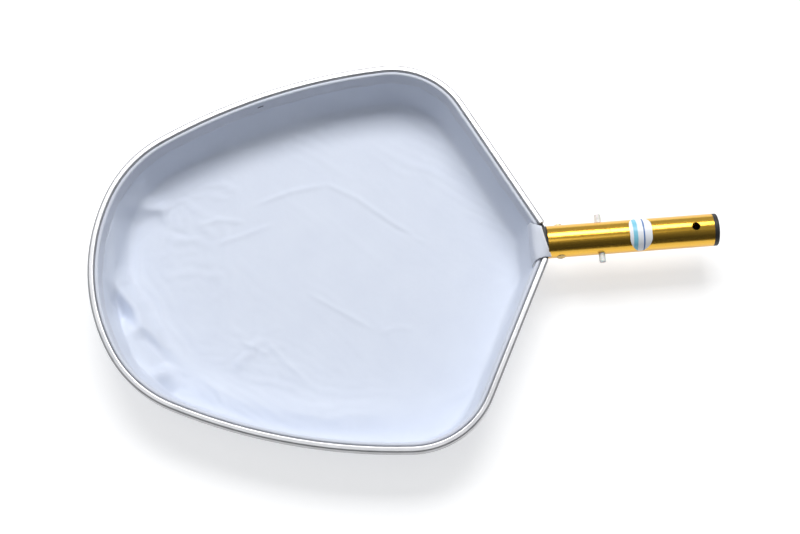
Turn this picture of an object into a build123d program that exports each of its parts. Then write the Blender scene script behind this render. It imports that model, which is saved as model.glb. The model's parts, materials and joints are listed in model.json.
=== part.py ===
from build123d import *
import math
import os

os.makedirs("parts", exist_ok=True)

# Leaf skimmer net, in millimetres. +X runs along the handle tube, out of the net, and +Z is up.
# The net lies on its bag with its mouth upwards. The origin is the bottom centre of its box.

# ---- driving dimensions ----

# right and left are as seen from the handle, looking at the net: right is +Y
SIDES = (("right", 1), ("left", -1))

# handle tube
TUBE_OD = 31.75
TUBE_WALL = 1.2
TUBE_LENGTH = 161.0
CAP_DOME = 6.0
RIVET_FROM_MOUTH = 12.5
BUTTON_FROM_MOUTH = 52.0
DEPTH_MARK_FROM_MOUTH = 60.0
END_HOLE_FROM_MOUTH = 143.0
END_HOLE_RADIUS = 4.0

# plan of the rail's centre-line: a straight leg, then arcs round to the nose, the same on both sides
LEG_ANGLE = 63.1
LEG_SIDE_STEP = 5.7
LEG_RUN = 159.0
LEG_CUT = 13.0
SHOULDER_RADIUS, SHOULDER_TURN = 78.3, 66.1
SIDE_RADIUS, SIDE_TURN = 554.0, 23.8
CORNER_RADIUS, CORNER_TURN = 116.7, 37.2

# rail section, measured outwards from its centre-line and upwards from its mid-height
RAIL_OUT = 5.5
RAIL_IN = -1.0
RAIL_HEIGHT = 13.0
RAIL_CORNER = 2.0
RAIL_SKIN = 1.2
RAIL_LIP = 1.0
BEAD_SLOT = 1.7
PRONG_SLOT = 2.7

# bag and hem
BAG_DEPTH = 52.0
BAG_DRAFT = 11.5
CLOTH_SOLID = 1.2
BEAD_RADIUS = 1.8
HEM_TOP, HEM_BOTTOM = 5.0, -12.0
HEM_TOP_OUT, HEM_TOP_IN = -1.3, -4.6
HEM_FOOT_OUT, HEM_FOOT_IN = -4.6, -6.2
BAG_FRONT_FROM_MOUTH = 14.0
BAG_FRONT_CORNER = 9.0

# where the sub-assemblies sit
RIM_Z = BAG_DEPTH
TUBE_Z = RIM_Z - 2.0

# ---- worked out from those ----
TUBE_RADIUS = TUBE_OD / 2
TUBE_BORE = TUBE_RADIUS - TUBE_WALL
LEG = Vector(-math.cos(math.radians(LEG_ANGLE)), math.sin(math.radians(LEG_ANGLE)), 0)
OUTWARD = Vector(LEG.Y, -LEG.X, 0)
HALF_TURNS = ((SHOULDER_RADIUS, SHOULDER_TURN), (SIDE_RADIUS, SIDE_TURN), (CORNER_RADIUS, CORNER_TURN))
NOSE_TURN = LEG_ANGLE + 90 - SHOULDER_TURN - SIDE_TURN - CORNER_TURN
UPPER_CHANNEL_Z = (RAIL_HEIGHT / 2 - RAIL_SKIN + RAIL_SKIN / 2) / 2
CHANNEL_HEIGHT = RAIL_HEIGHT / 2 - RAIL_SKIN - RAIL_SKIN / 2
CHANNEL_OUT = RAIL_OUT - RAIL_SKIN
CHANNEL_IN = RAIL_IN + RAIL_LIP
CHANNEL_MIDDLE = (CHANNEL_OUT + CHANNEL_IN) / 2


def leg_point(along, out, mouth_x):
    """A point on the +Y leg, at a distance along it from the mouth's plane and out from its centre-line."""
    return Vector(mouth_x, LEG_SIDE_STEP, 0) + LEG * along + OUTWARD * out


def half_outline(start, out):
    """Lines and arcs from the +Y leg's start to where the nose begins, a step out from the centre-line."""
    edge = Line(start, start + LEG * (LEG_RUN - LEG_CUT))
    for radius, turn in HALF_TURNS:
        edge = JernArc(edge @ 1, edge % 1, radius + out, turn)
    return edge


def rim_path(out, mouth_x):
    """The open wire that follows the whole rail, a step out from its centre-line, from cut end to cut end."""
    start = leg_point(LEG_CUT, out, mouth_x)
    with BuildLine() as path:
        edge = half_outline(start, out)
        nose_radius = (edge @ 1).Y / math.sin(math.radians(NOSE_TURN))
        edge = JernArc(edge @ 1, edge % 1, nose_radius, 2 * NOSE_TURN)
        for radius, turn in reversed(HALF_TURNS):
            edge = JernArc(edge @ 1, edge % 1, radius + out, turn)
        Line(edge @ 1, (start.X, -start.Y))
    return path.wires()[0]


# the box is centred on X by putting the tube's mouth where the net and the handle reach equally far
NOSE_REACH = -rim_path(RAIL_OUT, 0).bounding_box().min.X
HANDLE_REACH = TUBE_LENGTH + CAP_DOME
MOUTH_X = (NOSE_REACH - HANDLE_REACH) / 2
RIM = rim_path(0, MOUTH_X).moved(Location((0, 0, RIM_Z)))


def section_plane():
    """The plane across the +Y leg's cut end: local x is outwards and local y is up from mid-height."""
    start = leg_point(LEG_CUT, 0, MOUTH_X) + Vector(0, 0, RIM_Z)
    return Plane(origin=start, x_dir=OUTWARD, z_dir=-LEG)


def tube_plane(from_mouth):
    """The plane across the handle at a distance from the tube's mouth, looking along +X."""
    return Plane(origin=(MOUTH_X + from_mouth, 0, TUBE_Z), x_dir=(0, 1, 0), z_dir=(1, 0, 0))


def side_plane(from_mouth, side):
    """The plane across a radial hole in the tube's side, with its normal pointing out of the tube."""
    return Plane(origin=(MOUTH_X + from_mouth, 0, TUBE_Z), x_dir=(1, 0, 0), z_dir=(0, side, 0))


def revolve_plane(from_mouth, side):
    """The plane of a turned part's half-profile: local x is radius and local y is reach from the axis."""
    return Plane(origin=(MOUTH_X + from_mouth, 0, TUBE_Z), x_dir=(1, 0, 0), z_dir=(0, 0, side))


def side_axis(from_mouth):
    """The axis of the parts that sit across the tube, side to side."""
    return Axis((MOUTH_X + from_mouth, 0, TUBE_Z), (0, 1, 0))


def save(part, label):
    """Label a finished piece and write its file."""
    part.label = label
    export_step(part, f"parts/{label}.step")


# ---- rail: one bent length of double-channel extrusion ----
SCREW_FROM_MOUTH = 34.0
SCREW_SHANK = 1.5
screw_point = leg_point(SCREW_FROM_MOUTH, CHANNEL_MIDDLE, MOUTH_X)
screw_places = {"right": (screw_point.X, screw_point.Y), "left": (screw_point.X, -screw_point.Y)}
RAIL_FOOT = RIM_Z - RAIL_HEIGHT / 2

with BuildPart() as frame_rail:
    with BuildSketch(section_plane()):
        with Locations(((RAIL_OUT + RAIL_IN) / 2, 0)):
            RectangleRounded(RAIL_OUT - RAIL_IN, RAIL_HEIGHT, RAIL_CORNER)
        with Locations((CHANNEL_MIDDLE, UPPER_CHANNEL_Z), (CHANNEL_MIDDLE, -UPPER_CHANNEL_Z)):
            Rectangle(CHANNEL_OUT - CHANNEL_IN, CHANNEL_HEIGHT, mode=Mode.SUBTRACT)
        with Locations((RAIL_IN, UPPER_CHANNEL_Z)):
            Rectangle(3 * RAIL_LIP, BEAD_SLOT, mode=Mode.SUBTRACT)
        with Locations((RAIL_IN, -UPPER_CHANNEL_Z)):
            Rectangle(3 * RAIL_LIP, PRONG_SLOT, mode=Mode.SUBTRACT)
    sweep(path=RIM)
    with BuildSketch(Plane.XY.offset(RAIL_FOOT - 1)):
        with Locations(*screw_places.values()):
            Circle(SCREW_SHANK + 0.1)
    extrude(amount=1 + RAIL_SKIN + 0.2, mode=Mode.SUBTRACT)
save(frame_rail.part, "frame_rail")

# ---- bead cord in the upper channel ----
with BuildPart() as hem_bead:
    with BuildSketch(section_plane()):
        with Locations((CHANNEL_MIDDLE, UPPER_CHANNEL_Z)):
            Circle(BEAD_RADIUS)
    sweep(path=RIM)
save(hem_bead.part, "hem_bead")

# ---- hem tape: a tongue through the slot, a roll beside the rail and a band hanging down inside it ----
STAPLE_SHARE = 0.291
STAPLE_RISE = -1.6
STAPLE_WIRE, STAPLE_CROWN, STAPLE_LEG = 0.7, 6.0, 1.1
BAND_TOP = HEM_TOP - 1.5
BAND_LEAN = (HEM_TOP_IN - HEM_FOOT_IN) / (BAND_TOP - HEM_BOTTOM)
staple_tangent = RIM.tangent_at(STAPLE_SHARE)
staple_outward = Vector(staple_tangent.Y, -staple_tangent.X, 0)
staple_reach = HEM_TOP_IN - BAND_LEAN * (BAND_TOP - STAPLE_RISE) - 0.02
staple_spot = RIM.position_at(STAPLE_SHARE) + staple_outward * staple_reach + Vector(0, 0, STAPLE_RISE)
staple_plane = Plane(origin=staple_spot, x_dir=staple_tangent, z_dir=Vector(0, 0, BAND_LEAN) - staple_outward)
with BuildPart() as hem_staple:
    with BuildSketch(staple_plane):
        Rectangle(STAPLE_CROWN, STAPLE_WIRE)
    extrude(amount=STAPLE_WIRE)
    with BuildSketch(staple_plane):
        with GridLocations(STAPLE_CROWN - STAPLE_WIRE, 1, 2, 1):
            Circle(STAPLE_WIRE / 2)
    extrude(amount=-STAPLE_LEG)
save(hem_staple.part, "hem_staple")

with BuildPart() as hem_tape:
    with BuildSketch(section_plane()):
        with BuildLine():
            roll = [(HEM_TOP_OUT, 1.0), (HEM_TOP_OUT, HEM_TOP), (HEM_TOP_IN + 1.2, HEM_TOP)]
            band = [(HEM_TOP_IN, BAND_TOP), (HEM_FOOT_IN, HEM_BOTTOM), (HEM_FOOT_OUT, HEM_BOTTOM)]
            Polyline(*roll, *band, (HEM_TOP_IN + 1.5, 1.0), close=True)
        make_face()
        tongue_end = CHANNEL_MIDDLE - BEAD_RADIUS - 0.05
        with Locations(((HEM_TOP_OUT + tongue_end) / 2 - 0.3, UPPER_CHANNEL_Z)):
            Rectangle(tongue_end - HEM_TOP_OUT + 0.6, BEAD_SLOT - 0.5)
    sweep(path=RIM)
    add(hem_staple.part, mode=Mode.SUBTRACT)
save(hem_tape.part, "hem_tape")

# ---- bag: a drafted tray of cloth under the hem, open at the top ----
BAG_TOP = RIM_Z + HEM_BOTTOM


def bag_outline(inset):
    """The closed outline of the bag's mouth, a step in from the hem's foot."""
    out = HEM_FOOT_OUT - 0.1 - inset
    front_x = MOUTH_X - BAG_FRONT_FROM_MOUTH - inset
    leg_start = leg_point(0, out, MOUTH_X)
    front = leg_start + LEG * ((front_x - leg_start.X) / LEG.X)
    with BuildSketch(Plane.XY.offset(BAG_TOP)) as outline:
        with BuildLine():
            edge = Line(front, leg_point(LEG_RUN, out, MOUTH_X))
            for radius, turn in HALF_TURNS:
                edge = JernArc(edge @ 1, edge % 1, radius + out, turn)
            nose_radius = (edge @ 1).Y / math.sin(math.radians(NOSE_TURN))
            JernArc(edge @ 1, edge % 1, nose_radius, NOSE_TURN)
            mirror(about=Plane.XZ)
            Line(front, (front.X, -front.Y))
        make_face()
        fillet(outline.vertices().group_by(Axis.X)[-1], BAG_FRONT_CORNER - inset)
    return outline.sketch


outer_mouth = bag_outline(0)
inner_mouth = bag_outline(CLOTH_SOLID)
with BuildPart() as net_bag:
    extrude(outer_mouth, amount=-BAG_TOP, taper=BAG_DRAFT)
    extrude(inner_mouth, amount=-(BAG_TOP - CLOTH_SOLID), taper=BAG_DRAFT, mode=Mode.SUBTRACT)
save(net_bag.part, "net_bag")

# ---- yoke: a stem inside the tube, a hub at its mouth and two prongs in the rail's lower channel ----
STEM_LENGTH = 40.0
STEM_BORE = 10.5
HUB_LENGTH = 12.0
HUB_HEIGHT = 15.0
HUB_BACK, HUB_FRONT = 13.0, 8.5
PRONG_START, PRONG_END = 2.5, 52.0
PRONG_WIDTH, PRONG_HEIGHT = 4.2, 4.6
PRONG_Z = RIM_Z - UPPER_CHANNEL_Z
RIVET_SHANK = 2.4

with BuildPart() as yoke:
    with BuildSketch(Plane.XY.offset(TUBE_Z - HUB_HEIGHT / 2)):
        with BuildLine():
            right_edge = [(MOUTH_X, HUB_BACK), (MOUTH_X - HUB_LENGTH, HUB_FRONT)]
            left_edge = [(MOUTH_X - HUB_LENGTH, -HUB_FRONT), (MOUTH_X, -HUB_BACK)]
            Polyline(*right_edge, *left_edge, close=True)
        make_face()
    extrude(amount=HUB_HEIGHT)
    prong_start = leg_point(PRONG_START, CHANNEL_MIDDLE, MOUTH_X)
    prong_end = leg_point(PRONG_END, CHANNEL_MIDDLE, MOUTH_X)
    with BuildSketch(Plane.XY.offset(PRONG_Z - PRONG_HEIGHT / 2)):
        for side in (1, -1):
            middle = (prong_start + prong_end) / 2
            with Locations(Location((middle.X, side * middle.Y, 0), (0, 0, side * (180 - LEG_ANGLE)))):
                Rectangle(PRONG_END - PRONG_START, PRONG_WIDTH)
    extrude(amount=PRONG_HEIGHT)
    # the hub and the prongs stop at the tube's mouth, and only the stem goes in
    split(bisect_by=tube_plane(0), keep=Keep.BOTTOM)
    with BuildSketch(tube_plane(0)):
        Circle(TUBE_BORE - 0.03)
    extrude(amount=STEM_LENGTH)
    chamfer(yoke.edges().group_by(Axis.X)[-1], 1.0)
    with BuildSketch(tube_plane(STEM_LENGTH)):
        Circle(STEM_BORE)
    extrude(amount=-(STEM_LENGTH - 4.0), mode=Mode.SUBTRACT)
    with BuildSketch(side_plane(RIVET_FROM_MOUTH, 1)):
        Circle(RIVET_SHANK + 0.05)
    extrude(amount=TUBE_OD, both=True, mode=Mode.SUBTRACT)
    with BuildSketch(Plane.XY.offset(RAIL_FOOT)):
        with Locations(*screw_places.values()):
            Circle(SCREW_SHANK)
    extrude(amount=RAIL_SKIN + PRONG_HEIGHT - 0.6, mode=Mode.SUBTRACT)
save(yoke.part, "yoke")

# ---- prong screws: pan heads under the rail, threads in the prongs ----
SCREW_HEAD_RADIUS = 3.0
SCREW_HEAD_HEIGHT = 1.8
SCREW_LENGTH = 4.6
RECESS_DEPTH = 1.0
for name, place in screw_places.items():
    with BuildPart() as prong_screw:
        with BuildSketch(Plane.XY.offset(RAIL_FOOT)):
            with Locations(place):
                Circle(SCREW_SHANK - 0.02)
        extrude(amount=SCREW_LENGTH)
        with BuildSketch(Plane.XY.offset(RAIL_FOOT)):
            with Locations(place):
                Circle(SCREW_HEAD_RADIUS)
        extrude(amount=-SCREW_HEAD_HEIGHT)
        fillet(prong_screw.edges().group_by(Axis.Z)[0], 0.9)
        with BuildSketch(Plane.XY.offset(RAIL_FOOT - SCREW_HEAD_HEIGHT)):
            with Locations(place):
                Rectangle(3.0, 0.7)
                Rectangle(0.7, 3.0)
        extrude(amount=RECESS_DEPTH, mode=Mode.SUBTRACT)
    save(prong_screw.part, f"prong_screw_{name}")

# ---- handle tube ----
BUTTON_RADIUS = 3.175
BUTTON_GAP = 0.08
MARK_WIDTH, MARK_DEPTH = 0.6, 0.1
with BuildPart() as handle_tube:
    with BuildSketch(tube_plane(0)):
        Circle(TUBE_RADIUS)
        Circle(TUBE_BORE, mode=Mode.SUBTRACT)
    extrude(amount=TUBE_LENGTH)
    # a fine scribed ring shows how far the pole slides on
    with BuildSketch(revolve_plane(DEPTH_MARK_FROM_MOUTH, 1)):
        with BuildLine():
            root, crest = (0, TUBE_RADIUS - MARK_DEPTH), (0, TUBE_RADIUS + MARK_DEPTH)
            Polyline((-MARK_WIDTH / 2, TUBE_RADIUS), root, (MARK_WIDTH / 2, TUBE_RADIUS), crest, close=True)
        make_face()
    revolve(axis=Axis((MOUTH_X, 0, TUBE_Z), (1, 0, 0)), mode=Mode.SUBTRACT)
    side_holes = ((RIVET_FROM_MOUTH, RIVET_SHANK + 0.05), (BUTTON_FROM_MOUTH, BUTTON_RADIUS + BUTTON_GAP))
    for from_mouth, radius in side_holes:
        with BuildSketch(side_plane(from_mouth, 1)):
            Circle(radius)
        extrude(amount=TUBE_OD, both=True, mode=Mode.SUBTRACT)
    with BuildSketch(Plane.XY.offset(TUBE_Z)):
        with Locations((MOUTH_X + END_HOLE_FROM_MOUTH, 0)):
            Circle(END_HOLE_RADIUS)
    extrude(amount=TUBE_OD, both=True, mode=Mode.SUBTRACT)
save(handle_tube.part, "handle_tube")

# ---- blind rivets, each a hollow body set over its broken-off mandrel ----
RIVET_HEAD_RADIUS, RIVET_HEAD_HEIGHT = 4.8, 1.2
RIVET_BULGE, RIVET_INNER = 3.4, 8.0
MANDREL_RADIUS, MANDREL_BALL = 1.2, 1.9
HEAD_TOP, HEAD_UNDER = TUBE_RADIUS + RIVET_HEAD_HEIGHT, TUBE_RADIUS - 1.2
for name, side in SIDES:
    with BuildPart() as rivet:
        with BuildSketch(revolve_plane(RIVET_FROM_MOUTH, side)):
            with BuildLine():
                middle = Line((0, HEAD_UNDER), (0, HEAD_TOP))
                rim = (RIVET_HEAD_RADIUS, TUBE_RADIUS - 0.2)
                dome = ThreePointArc(middle @ 1, (3.4, HEAD_TOP - 0.45), rim)
                Polyline(dome @ 1, (RIVET_HEAD_RADIUS, HEAD_UNDER), middle @ 0)
            make_face()
        revolve(axis=side_axis(RIVET_FROM_MOUTH))
        # the head's underside follows the tube's curve
        with BuildSketch(tube_plane(RIVET_FROM_MOUTH - 2 * RIVET_HEAD_RADIUS)):
            Circle(TUBE_RADIUS)
        extrude(amount=4 * RIVET_HEAD_RADIUS, mode=Mode.SUBTRACT)
        with BuildSketch(revolve_plane(RIVET_FROM_MOUTH, side)):
            with BuildLine():
                shank = [(0, RIVET_INNER), (0, TUBE_RADIUS + 0.4), (RIVET_SHANK, TUBE_RADIUS + 0.4)]
                bulge = [(RIVET_SHANK, STEM_BORE - 0.4), (RIVET_BULGE, STEM_BORE - 1.2)]
                Polyline(*shank, *bulge, (RIVET_SHANK, RIVET_INNER), close=True)
            make_face()
        revolve(axis=side_axis(RIVET_FROM_MOUTH))
        with BuildSketch(side_plane(RIVET_FROM_MOUTH, side)):
            Circle(MANDREL_RADIUS + 0.05)
        extrude(amount=TUBE_OD, mode=Mode.SUBTRACT)
    save(rivet.part, f"rivet_{name}")

    with BuildPart() as mandrel:
        with BuildSketch(side_plane(RIVET_FROM_MOUTH, side).offset(RIVET_INNER - 1.5)):
            Circle(MANDREL_RADIUS)
        extrude(amount=HEAD_TOP - 0.4 - (RIVET_INNER - 1.5))
        with BuildSketch(side_plane(RIVET_FROM_MOUTH, side).offset(RIVET_INNER - 1.6)):
            Circle(MANDREL_BALL)
        extrude(amount=1.6)
        fillet(mandrel.edges().filter_by(GeomType.CIRCLE).sort_by(Axis.Y)[0 if side > 0 else -1], 0.5)
    save(mandrel.part, f"rivet_mandrel_{name}")

# ---- clip: a V of strip spring with a nylon button riveted on each end ----
PAD_REACH = 11.6
STRIP_THICKNESS, STRIP_WIDTH = 0.8, 8.0
PAD_HALF, CLIP_LENGTH = 5.0, 46.0
STUD_RADIUS = 1.5
with BuildPart() as clip_spring:
    with BuildLine() as clip_path:
        button_x = MOUTH_X + BUTTON_FROM_MOUTH
        right_pad = [(button_x - PAD_HALF, PAD_REACH), (button_x + PAD_HALF + 1, PAD_REACH)]
        left_pad = [(button_x + PAD_HALF + 1, -PAD_REACH), (button_x - PAD_HALF, -PAD_REACH)]
        FilletPolyline(*right_pad, (button_x + CLIP_LENGTH, 0), *left_pad, radius=3.0)
    strip = clip_path.wires()[0].moved(Location((0, 0, TUBE_Z)))
    with BuildSketch(Plane(origin=strip @ 0, x_dir=(0, 1, 0), z_dir=strip % 0)):
        Rectangle(STRIP_THICKNESS, STRIP_WIDTH)
    sweep(path=strip)
    with BuildSketch(side_plane(BUTTON_FROM_MOUTH, 1)):
        Circle(STUD_RADIUS + 0.05)
    extrude(amount=TUBE_OD, both=True, mode=Mode.SUBTRACT)
save(clip_spring.part, "clip_spring")

BUTTON_REACH = 24.4
FLANGE_RADIUS, FLANGE_TOP, FLANGE_FOOT = 4.8, 13.6, 12.03
STUD_HEAD_RADIUS, STUD_HEAD_TOP, STUD_HEAD_FOOT = 2.4, 11.17, 10.3
for name, side in SIDES:
    with BuildPart() as button:
        with BuildSketch(revolve_plane(BUTTON_FROM_MOUTH, side)):
            with BuildLine():
                shank = [(0, BUTTON_REACH), (BUTTON_RADIUS, BUTTON_REACH), (BUTTON_RADIUS, FLANGE_TOP)]
                flange = [(FLANGE_RADIUS, FLANGE_TOP), (FLANGE_RADIUS, FLANGE_FOOT)]
                stud = [(STUD_RADIUS, FLANGE_FOOT), (STUD_RADIUS, STUD_HEAD_TOP)]
                stud_head = [(STUD_HEAD_RADIUS, STUD_HEAD_TOP), (STUD_HEAD_RADIUS, STUD_HEAD_FOOT)]
                Polyline(*shank, *flange, *stud, *stud_head, (0, STUD_HEAD_FOOT), close=True)
            make_face()
        revolve(axis=side_axis(BUTTON_FROM_MOUTH))
        fillet(button.edges().filter_by(GeomType.CIRCLE).sort_by(Axis.Y)[-1 if side > 0 else 0], 1.1)
    save(button.part, f"button_{name}")

# ---- end cap: a hollow plug with a domed flange just under the tube's size ----
PLUG_LENGTH, PLUG_WALL = 11.0, 1.6
CAP_RADIUS, CAP_RIM, CAP_FLOOR = 15.7, 4.6, 3.0
DOME_RISE = CAP_DOME - CAP_RIM
DOME_RADIUS = (DOME_RISE**2 + CAP_RADIUS**2) / (2 * DOME_RISE)
DOME_MIDDLE = CAP_DOME - DOME_RADIUS + math.sqrt(DOME_RADIUS**2 - (CAP_RADIUS / 2) ** 2)
with BuildPart() as end_cap:
    with BuildSketch(Plane(origin=(MOUTH_X + TUBE_LENGTH, 0, TUBE_Z))) as profile:
        with BuildLine():
            hollow = [(CAP_FLOOR, 0), (CAP_FLOOR, TUBE_BORE - PLUG_WALL)]
            plug_end = [(-PLUG_LENGTH, TUBE_BORE - PLUG_WALL), (-PLUG_LENGTH, TUBE_BORE - 0.4)]
            collar = [(-PLUG_LENGTH + 1.0, TUBE_BORE - 0.02), (0.02, TUBE_BORE - 0.02)]
            Polyline((CAP_DOME, 0), *hollow, *plug_end, *collar, (0.02, CAP_RADIUS), (CAP_RIM, CAP_RADIUS))
            ThreePointArc((CAP_RIM, CAP_RADIUS), (DOME_MIDDLE, CAP_RADIUS / 2), (CAP_DOME, 0))
        make_face()
        fillet(profile.vertices().sort_by_distance((CAP_RIM, CAP_RADIUS))[0], 1.1)
    revolve(axis=Axis((MOUTH_X, 0, TUBE_Z), (1, 0, 0)))
save(end_cap.part, "end_cap")

# ---- label: a thin round-ended patch on the tube, tilted a little to the -Y side ----
LABEL_FROM_MOUTH, LABEL_WIDTH, LABEL_CORNER = 89.5, 21.5, 9.5
LABEL_THICKNESS = 0.1
LABEL_TILT = -4.0
label_up = Vector(0, math.sin(math.radians(LABEL_TILT)), math.cos(math.radians(LABEL_TILT)))
with BuildPart() as tube_label:
    with BuildSketch(tube_plane(LABEL_FROM_MOUTH - LABEL_WIDTH / 2)):
        Circle(TUBE_RADIUS + LABEL_THICKNESS)
        Circle(TUBE_RADIUS, mode=Mode.SUBTRACT)
    extrude(amount=LABEL_WIDTH)
    middle = (MOUTH_X + LABEL_FROM_MOUTH, 0, TUBE_Z)
    with BuildSketch(Plane(origin=middle, x_dir=(1, 0, 0), z_dir=label_up)):
        RectangleRounded(LABEL_WIDTH - 0.02, TUBE_OD - 0.2, LABEL_CORNER)
    extrude(amount=TUBE_OD, mode=Mode.INTERSECT)
save(tube_label.part, "tube_label")

# ---- gusset: the short band of cloth that closes the mouth between the rail's two ends ----
GUSSET_REACH = 19.0
GUSSET_TOP = TUBE_Z + 9.2
GUSSET_PLATE = [(-9.9, 14.3), (-4.6, 9.5), (-1.0, -5.0), (-1.0, -12.0), (-3.4, -15.0), (-9.9, -14.3)]
with BuildPart() as mouth_gusset:
    wall_x = MOUTH_X - BAG_FRONT_FROM_MOUTH - CLOTH_SOLID / 2
    with BuildSketch(Plane.XY.offset(BAG_TOP)):
        with Locations((wall_x, 0)):
            Rectangle(CLOTH_SOLID, 2 * GUSSET_REACH)
    extrude(amount=GUSSET_TOP - BAG_TOP)
    with BuildSketch(Plane.XY.offset(GUSSET_TOP - CLOTH_SOLID)):
        with BuildLine():
            plate = [(MOUTH_X + x, y) for x, y in GUSSET_PLATE]
            Polyline((wall_x, GUSSET_REACH), *plate, (wall_x, -GUSSET_REACH), close=True)
        make_face()
    extrude(amount=CLOTH_SOLID)
save(mouth_gusset.part, "mouth_gusset")
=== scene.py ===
"""Looks of the leaf skimmer net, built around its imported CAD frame.

Every piece is in metres in the frame of the part: +X along the handle tube and out of the net, +Y across
the net and +Z up, with the bag lying on z = 0.
"""

import json
import logging
import math
from dataclasses import dataclass, field
from enum import Enum
from typing import Optional, Sequence

import bpy
import numpy as np
from mathutils import Euler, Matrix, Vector

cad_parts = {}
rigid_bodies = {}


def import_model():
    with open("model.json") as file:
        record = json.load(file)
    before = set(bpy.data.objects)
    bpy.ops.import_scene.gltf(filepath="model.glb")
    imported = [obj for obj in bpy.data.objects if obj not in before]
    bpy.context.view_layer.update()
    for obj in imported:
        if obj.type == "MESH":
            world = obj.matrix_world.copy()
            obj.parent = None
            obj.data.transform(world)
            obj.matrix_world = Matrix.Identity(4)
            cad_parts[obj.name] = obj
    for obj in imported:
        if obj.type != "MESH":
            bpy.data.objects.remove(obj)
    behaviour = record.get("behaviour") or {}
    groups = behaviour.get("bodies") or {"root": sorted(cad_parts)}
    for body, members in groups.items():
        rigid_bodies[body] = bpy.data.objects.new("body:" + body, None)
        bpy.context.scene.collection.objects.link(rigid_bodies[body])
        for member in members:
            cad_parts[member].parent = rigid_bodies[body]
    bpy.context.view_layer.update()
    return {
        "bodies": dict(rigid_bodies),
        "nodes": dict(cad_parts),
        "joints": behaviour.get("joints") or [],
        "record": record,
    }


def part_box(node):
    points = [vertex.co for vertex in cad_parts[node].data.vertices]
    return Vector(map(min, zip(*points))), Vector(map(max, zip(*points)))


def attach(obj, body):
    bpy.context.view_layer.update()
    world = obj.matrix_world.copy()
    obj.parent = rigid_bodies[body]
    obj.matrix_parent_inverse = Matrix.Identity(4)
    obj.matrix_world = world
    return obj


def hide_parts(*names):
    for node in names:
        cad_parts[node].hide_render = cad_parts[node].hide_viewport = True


LOG = logging.getLogger("skimmer_net")
MM = 0.001
HEAD = "net_head"
Colour = tuple[float, float, float]


class Weave(Enum):
    """How a cloth's threads are laid: the thread pitch in metres."""

    SILT_MESH = 0.0007
    TAPE = 0.0011


# ---------------------------------------------------------------- finishes


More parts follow.
